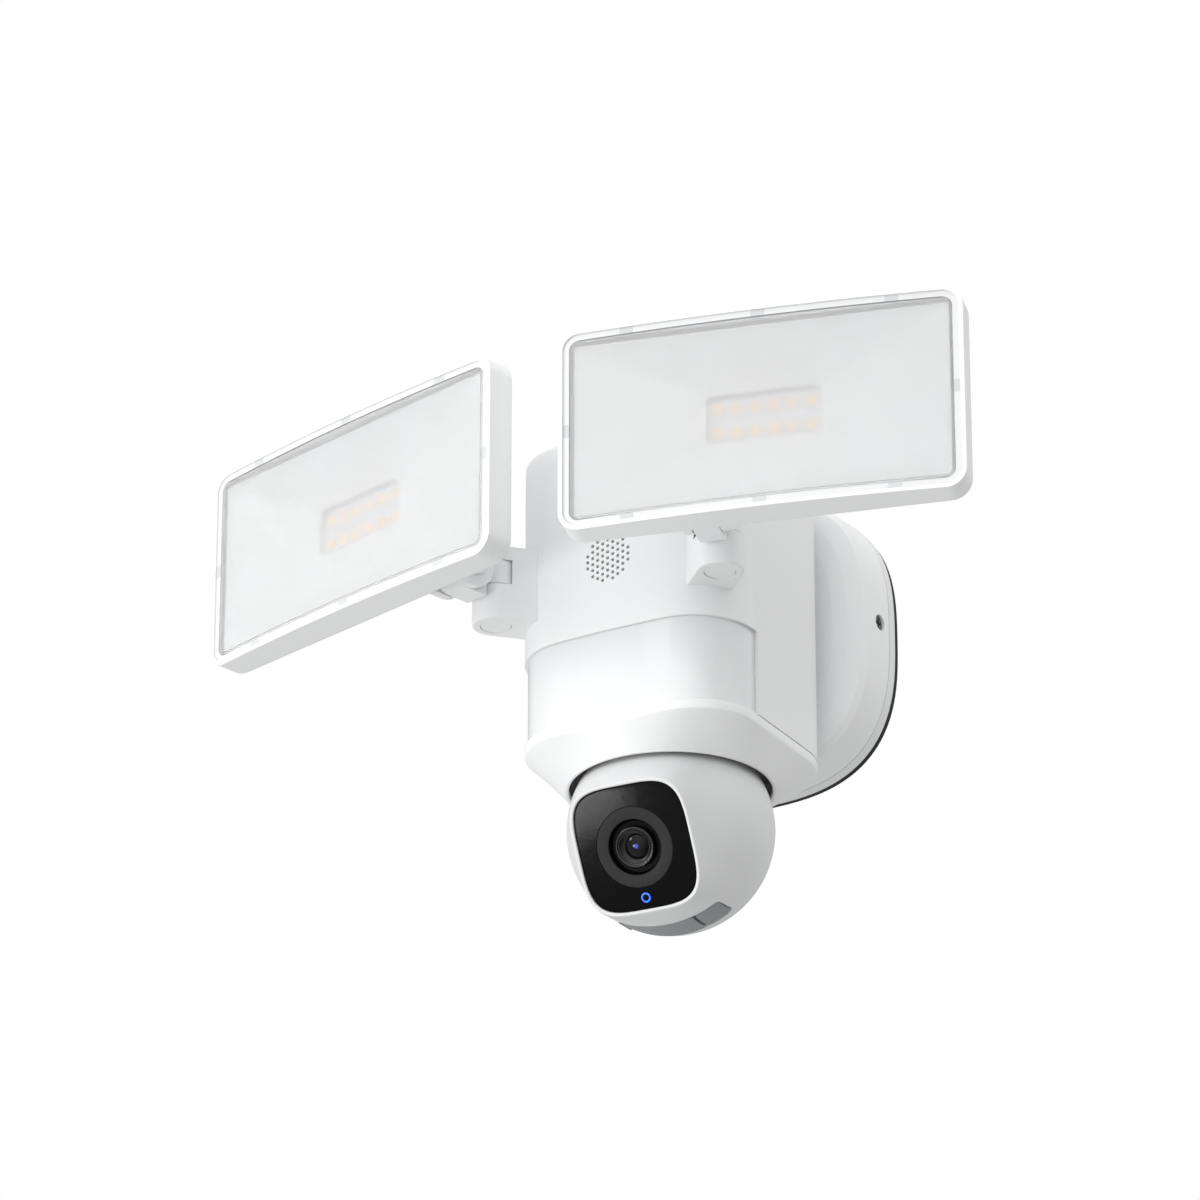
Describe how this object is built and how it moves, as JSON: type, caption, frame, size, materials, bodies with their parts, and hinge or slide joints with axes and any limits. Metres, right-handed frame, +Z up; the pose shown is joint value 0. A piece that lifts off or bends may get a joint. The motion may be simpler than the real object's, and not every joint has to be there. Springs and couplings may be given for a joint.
{
  "type": "floodlight security camera",
  "caption": "Wall-mounted security camera with a motorised ball camera under a motion sensor column and floodlight panels on swing arms.",
  "frame": {"origin": "centre of the wall plate on the wall plane, between the two junction-box screw slots", "axes": "+Y into the wall, -Y towards the viewer, +X to the right of a viewer facing the wall, +Z up"},
  "size_m": [0.324, 0.1841, 0.1965],
  "materials": {
    "shell_white": "satin moulded",
    "foam_black": "closed-cell foam",
    "plate_grey": "fine texture",
    "rubber_dark": "matt",
    "screw_dark": "dark zinc",
    "terminal_white": "moulded",
    "board_green": "solder mask",
    "steel": "zinc plated",
    "window_milky": "polished milky",
    "speaker_black": "cone and frame",
    "motor_steel": "zinc plated",
    "inner_grey": "moulded",
    "face_black": "polished",
    "bezel_matt": "fine matt",
    "lens_glass": "coated",
    "status_blue": "light guide",
    "port_rubber": "soft matt",
    "seal_grey": "soft",
    "lens_frosted": "frosted",
    "reflector_white": "white",
    "board_white": "white solder mask",
    "chip_phosphor": "phosphor",
    "aluminium": "milled"
  },
  "bodies": {
    "base": {"wall_gasket": "foam_black", "mounting_plate": "plate_grey", "cable_grommet": "rubber_dark", "rear_housing": "shell_white", "side_screws": "screw_dark", "terminal_block": "terminal_white", "power_board": "board_green", "column_shell": "shell_white", "column_screws": "steel", "motion_window": "window_milky", "motion_sensor_board": "board_green", "motion_sensors": "steel", "speaker_driver": "speaker_black", "main_board": "board_green", "bearing_deck": "shell_white", "pan_motor": "motor_steel", "collar": "shell_white", "left_hinge_bracket": "shell_white", "left_hinge_pin": "steel", "left_hinge_cap": "shell_white", "right_hinge_bracket": "shell_white", "right_hinge_pin": "steel", "right_hinge_cap": "shell_white"},
    "left_arm": {"left_light_arm": "shell_white"},
    "right_arm": {"right_light_arm": "shell_white"},
    "left_light": {"left_light_housing": "shell_white", "left_light_screws": "steel", "left_light_seal": "seal_grey", "left_light_lens": "lens_frosted", "left_light_reflector": "reflector_white", "left_light_board": "board_white", "left_light_chips": "chip_phosphor", "left_heat_spreader": "aluminium", "left_tilt_pin": "shell_white"},
    "right_light": {"right_light_housing": "shell_white", "right_light_screws": "steel", "right_light_seal": "seal_grey", "right_light_lens": "lens_frosted", "right_light_reflector": "reflector_white", "right_light_board": "board_white", "right_light_chips": "chip_phosphor", "right_heat_spreader": "aluminium", "right_tilt_pin": "shell_white"},
    "camera_turret": {"pan_neck": "inner_grey", "pan_lock_ring": "inner_grey", "tilt_axle": "steel"},
    "camera_head": {"head_front_shell": "shell_white", "head_rear_shell": "shell_white", "face_plate": "face_black", "lens_bezel": "bezel_matt", "lens_tube": "bezel_matt", "lens_glass": "lens_glass", "image_board": "board_green", "status_ring": "status_blue", "tilt_motor": "motor_steel"},
    "port_cover": {"port_cover": "port_rubber"},
    "sync_button": {"sync_button": "port_rubber"}
  },
  "joints": [
    {"name": "left_arm_swing", "type": "hinge", "parent": "base", "child": "left_arm", "pos_m": [-0.0482, -0.1227, 0], "axis": [0, 0, 1], "range_deg": [-75, 6]},
    {"name": "right_arm_swing", "type": "hinge", "parent": "base", "child": "right_arm", "pos_m": [0.0482, -0.1227, 0], "axis": [0, 0, 1], "range_deg": [-6, 75]},
    {"name": "left_light_tilt", "type": "hinge", "parent": "left_arm", "child": "left_light", "pos_m": [-0.05339, -0.14201, 0], "axis": [0.9657, -0.2597, 0], "range_deg": [-20, 45]},
    {"name": "right_light_tilt", "type": "hinge", "parent": "right_arm", "child": "right_light", "pos_m": [0.05339, -0.14201, 0], "axis": [0.9657, 0.2597, 0], "range_deg": [-20, 45]},
    {"name": "camera_pan", "type": "hinge", "parent": "base", "child": "camera_turret", "pos_m": [0, -0.0749, -0.0948], "axis": [0, 0, 1], "range_deg": [-175, 175]},
    {"name": "camera_tilt", "type": "hinge", "parent": "camera_turret", "child": "camera_head", "pos_m": [0, -0.0749, -0.0948], "axis": [0.9978, 0.0663, 0], "range_deg": [-9, 38]},
    {"name": "port_cover_open", "type": "hinge", "parent": "camera_head", "child": "port_cover", "pos_m": [-0.02045, -0.07338, -0.12767], "axis": [-0.066, 0.994, 0.0872], "range_deg": [0, 90], "stiffness_Nm_per_rad": 0.002},
    {"name": "sync_button_press", "type": "slide", "parent": "camera_head", "child": "sync_button", "axis": [0.0058, -0.087, 0.9962], "range_m": [0, 0.0006], "stiffness_N_per_m": 400}
  ]
}
